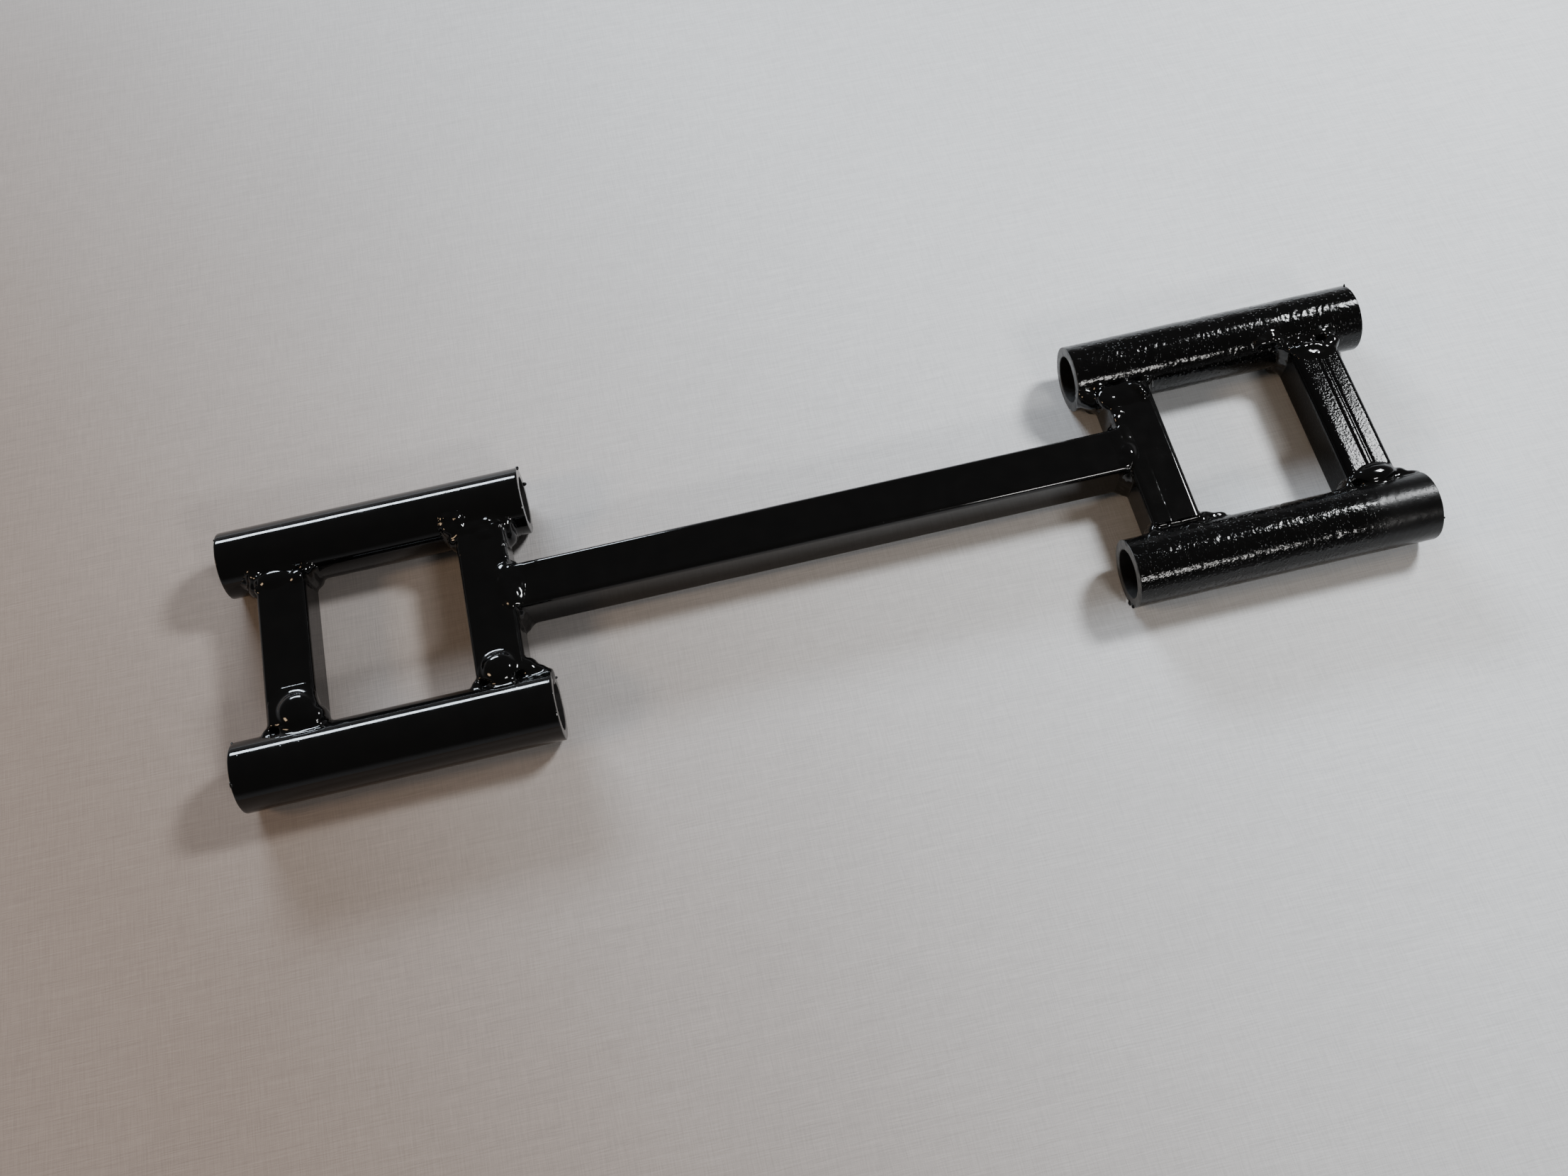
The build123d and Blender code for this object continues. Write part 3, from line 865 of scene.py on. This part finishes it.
def collar(casting, bar, sleeve, row, rng, sizes):
    """Overlapping ripples of weld down both sides of the bar and across underneath."""
    half, inward = bar.half, -ROWS[row]
    edge = sleeve.y + inward * sleeve.radius
    path = [(-half, z, sizes[0]) for z in np.arange(BEAD_TOP, BEAD_FOOT, -BEAD_STEP)]
    path += [(x, sleeve.z - half, UNDER_BEAD) for x in np.arange(-half, half + 0.1, BEAD_STEP)]
    path += [(half, z, sizes[1]) for z in np.arange(BEAD_FOOT, BEAD_TOP, BEAD_STEP)]
    for across, z, size in path:
        radius = size * rng.uniform(*RIPPLE_SIZES)
        curve = sleeve.radius - math.sqrt(sleeve.radius ** 2 - (z - sleeve.z) ** 2)
        y = edge - inward * (curve - BEAD_INSET) + rng.uniform(-WANDER, WANDER)
        x = bar.middle[0] + across * BESIDE + rng.uniform(-WANDER, WANDER)
        lift = max(z, radius + BEAD_LIFT)
        casting.lump((x, y, lift), (radius, radius, radius * rng.uniform(*RIPPLE_HEIGHTS)))


def surface_height(bar, sleeve, row, x, y):
    """Height of the steel under a place on top of a joint."""
    inward = -ROWS[row]
    edge = sleeve.y + inward * sleeve.radius
    depth = (edge - y) * inward
    heights = [sleeve.z - OPEN_GROUND]
    if abs(x - bar.middle[0]) < bar.half and depth < 0:
        heights.append(bar.middle[2] + bar.half)
    if 0 < depth < 2 * sleeve.radius and sleeve.start < x < sleeve.end:
        heights.append(sleeve.z + math.sqrt(sleeve.radius ** 2 - (depth - sleeve.radius) ** 2))
    return max(heights)


def crown_sink(height):
    """How far below the steel the middle of a lump of that height lies."""
    share, least = CROWN_SINK
    return share * height + least


def make_crossbar_weld(side, place_name, row, seed):
    """All the weld metal round the joint of one crossbar and one sleeve."""
    bar, sleeve = CROSSBARS[side, place_name], SLEEVES[side, row]
    name = f"{side}_{place_name}_{row}"
    rng = np.random.default_rng(seed)
    edge = sleeve.y - ROWS[row] * sleeve.radius
    before, beyond = (OVER_SLEEVE, OVER_BAR) if row == "front" else (OVER_BAR, OVER_SLEEVE)
    low = (bar.middle[0] - JOINT_ACROSS, edge - before, FLOOR_GAP)
    high = (bar.middle[0] + JOINT_ACROSS, edge + beyond, TOP + HEADROOM)
    casting = Casting(low, high)
    collar(casting, bar, sleeve, row, rng, SIDE_BEADS[name])
    for across, along, half_x, half_y, height in CROWNS[name]:
        x, y = bar.middle[0] + across, edge + along
        ground = surface_height(bar, sleeve, row, x, y)
        sink = crown_sink(height)
        casting.lump((x, y, ground - sink), (half_x, half_y, height + sink), CROWN_SHAPE)
    for across, along, z, *halves in SPILLS[name]:
        casting.lump((bar.middle[0] + across, edge + along, z), halves)
    x, y, z = casting.grid()
    steel = np.minimum(bar_distance(bar, x, y, z), sleeve_distance(sleeve, x, y, z))
    points, faces = casting.pour(steel, seed * 3, LUMPINESS[name])
    nodes = [f"weld_{name}_{part}" for part in ("top", "bottom", "inboard", "outboard")]
    mesh_piece(f"weld_bead_{name}", points, faces, [WELD], nodes, sharp=180)


def make_centre_weld(side, seed):
    """All the weld metal round the joint of the centre bar and one inner crossbar."""
    bar, centre = CROSSBARS[side, "inner"], CENTRE_BAR
    rng = np.random.default_rng(seed)
    contact = SIDES[side] * centre.reach
    middle_y = centre.middle[1]
    top, foot = centre.middle[2] + centre.half, centre.middle[2] - centre.half
    casting = Casting((contact - CENTRE_ACROSS, middle_y - CENTRE_FRONT, CENTRE_FLOOR_GAP),
                      (contact + CENTRE_ACROSS, middle_y + CENTRE_REAR, TOP + HEADROOM))
    for across, along, half_x, half_y, height in CENTRE_CROWNS[side]:
        sink = crown_sink(height)
        middle = (contact + across, middle_y + along, top - sink)
        casting.lump(middle, (half_x, half_y, height + sink), CROWN_SHAPE)
    for sign, radii in CENTRE_BEADS.items():
        for z in np.arange(BEAD_FOOT, CENTRE_BEAD_TOP, BEAD_STEP):
            radius = rng.uniform(*radii)
            x = contact + rng.uniform(-WANDER, WANDER)
            y = middle_y + sign * (centre.half + CENTRE_BEAD_OUT)
            casting.lump((x, y, z), (radius, radius, radius * CENTRE_BEAD_HEIGHT))
    for y in np.arange(-CENTRE_UNDER_SPAN, CENTRE_UNDER_SPAN, BEAD_STEP):
        thick = rng.uniform(*CENTRE_UNDER_THICK)
        casting.lump((contact, middle_y + y, foot), (*CENTRE_UNDER_HALVES, thick))
    x, y, z = casting.grid()
    steel = np.minimum(bar_distance(bar, x, y, z), bar_distance(centre, x, y, z))
    points, faces = casting.pour(steel, seed * 3, LUMPINESS[f"centre_{side}"])
    nodes = [f"weld_centre_{side}_{part}" for part in ("top", "bottom", "front", "rear")]
    mesh_piece(f"weld_bead_centre_{side}", points, faces, [WELD], nodes, sharp=180)


# ---------------------------------------------------------------- the scene

LENS, SENSOR = 33.263, 36                # millimetres; the places and sizes below are in metres
CAMERA_AT = Vector((-0.05119, -0.25115, 0.51517))
CAMERA_AIM = Vector((-0.02043, -0.01821, 0.013335))
CAMERA_ROLL = math.radians(-6.0)


def make_camera():
    """The camera, high over the front and turned a little about its own axis."""
    data = bpy.data.cameras.new("camera")
    data.lens = LENS
    data.sensor_width = SENSOR
    camera = bpy.data.objects.new("camera", data)
    bpy.context.scene.collection.objects.link(camera)
    turn = (CAMERA_AIM - CAMERA_AT).to_track_quat("-Z", "Y")
    camera.rotation_mode = "QUATERNION"
    camera.rotation_quaternion = turn @ Quaternion((0, 0, 1), CAMERA_ROLL)
    camera.location = CAMERA_AT
    bpy.context.scene.camera = camera


# Name, place, width and height, power in watts, colour, place it faces
LIGHTS = (
    ("key", (0.72, 0.31, 0.81), (0.22, 0.18), 9.4, (0.96, 0.985, 1.0), (0.2, 0.0, 0.0)),
    ("window", (-0.60, 2.04, 0.95), (1.0, 0.34), 43, (0.80, 0.90, 1.0), (0, 0, 0)),
    ("lamp", (-1.25, -0.10, 0.90), (0.30, 0.30), 3.6, (1.0, 0.70, 0.44), (0, 0, 0)),
    ("fill", (0.57, -1.30, 1.00), (0.34, 0.15), 6.5, (1.0, 0.98, 0.95), (0.15, 0.0, 0.0)),
)
FLOOR_HALF = 6.0
OVERHEAD = (0.075, 0.073, 0.070)
HORIZON = (0.05, 0.35)                   # how far up the walls pass into the dim overhead


def soft_light(name, at, size, power, colour, aim):
    """A rectangular lamp facing a place."""
    data = bpy.data.lights.new(name, "AREA")
    data.shape = "RECTANGLE"
    data.size, data.size_y = size
    data.energy = power
    data.color = colour
    light = bpy.data.objects.new(name, data)
    light.location = at
    light.rotation_euler = (Vector(aim) - Vector(at)).to_track_quat("-Z", "Y").to_euler()
    bpy.context.scene.collection.objects.link(light)


def make_floor():
    """A large square of cloth at the height the object rests on."""
    mesh = bpy.data.meshes.new("floor")
    half = FLOOR_HALF
    corners = [(-half, -half, 0), (half, -half, 0), (half, half, 0), (-half, half, 0)]
    mesh.from_pydata(corners, [], [(0, 1, 2, 3)])
    mesh.materials.append(cloth("pale_cloth"))
    floor = bpy.data.objects.new("floor", mesh)
    bpy.context.scene.collection.objects.link(floor)


def make_world():
    """Dim overhead, paler towards the horizon, as in a studio with light walls."""
    world = bpy.data.worlds.new("world")
    bpy.context.scene.world = world
    world.use_nodes = True
    nodes, links = world.node_tree.nodes, world.node_tree.links
    parts = node(nodes, "ShaderNodeSeparateXYZ")
    links.new(nodes.new("ShaderNodeTexCoord").outputs["Generated"], parts.inputs["Vector"])
    height = smooth_range(nodes, links, parts.outputs["Z"], HORIZON)
    links.new(two_tone(nodes, links, height, BACKDROP, OVERHEAD), nodes["Background"].inputs["Color"])


make_camera()
make_floor()
make_world()
for light in LIGHTS:
    soft_light(*light)

for side in SIDES:
    for row in ROWS:
        make_sleeve(side, row)
for (side, place_name), bar in CROSSBARS.items():
    satin = (side, place_name) == ("right", "outer")
    paint, dent = (SATIN, SATIN_DENT) if satin else (BAR_GLOSS, DENT)
    make_bar(bar, f"bar_{side}_{place_name}", paint, CROSSBAR_STEP, dent)
make_bar(CENTRE_BAR, "bar_centre", BAR_GLOSS, CENTRE_BAR_STEP, DENT)
seed = 100
for side in SIDES:
    for place_name in PLACES:
        for row in ROWS:
            seed += 10
            make_crossbar_weld(side, place_name, row, seed)
    make_centre_weld(side, seed + 5)
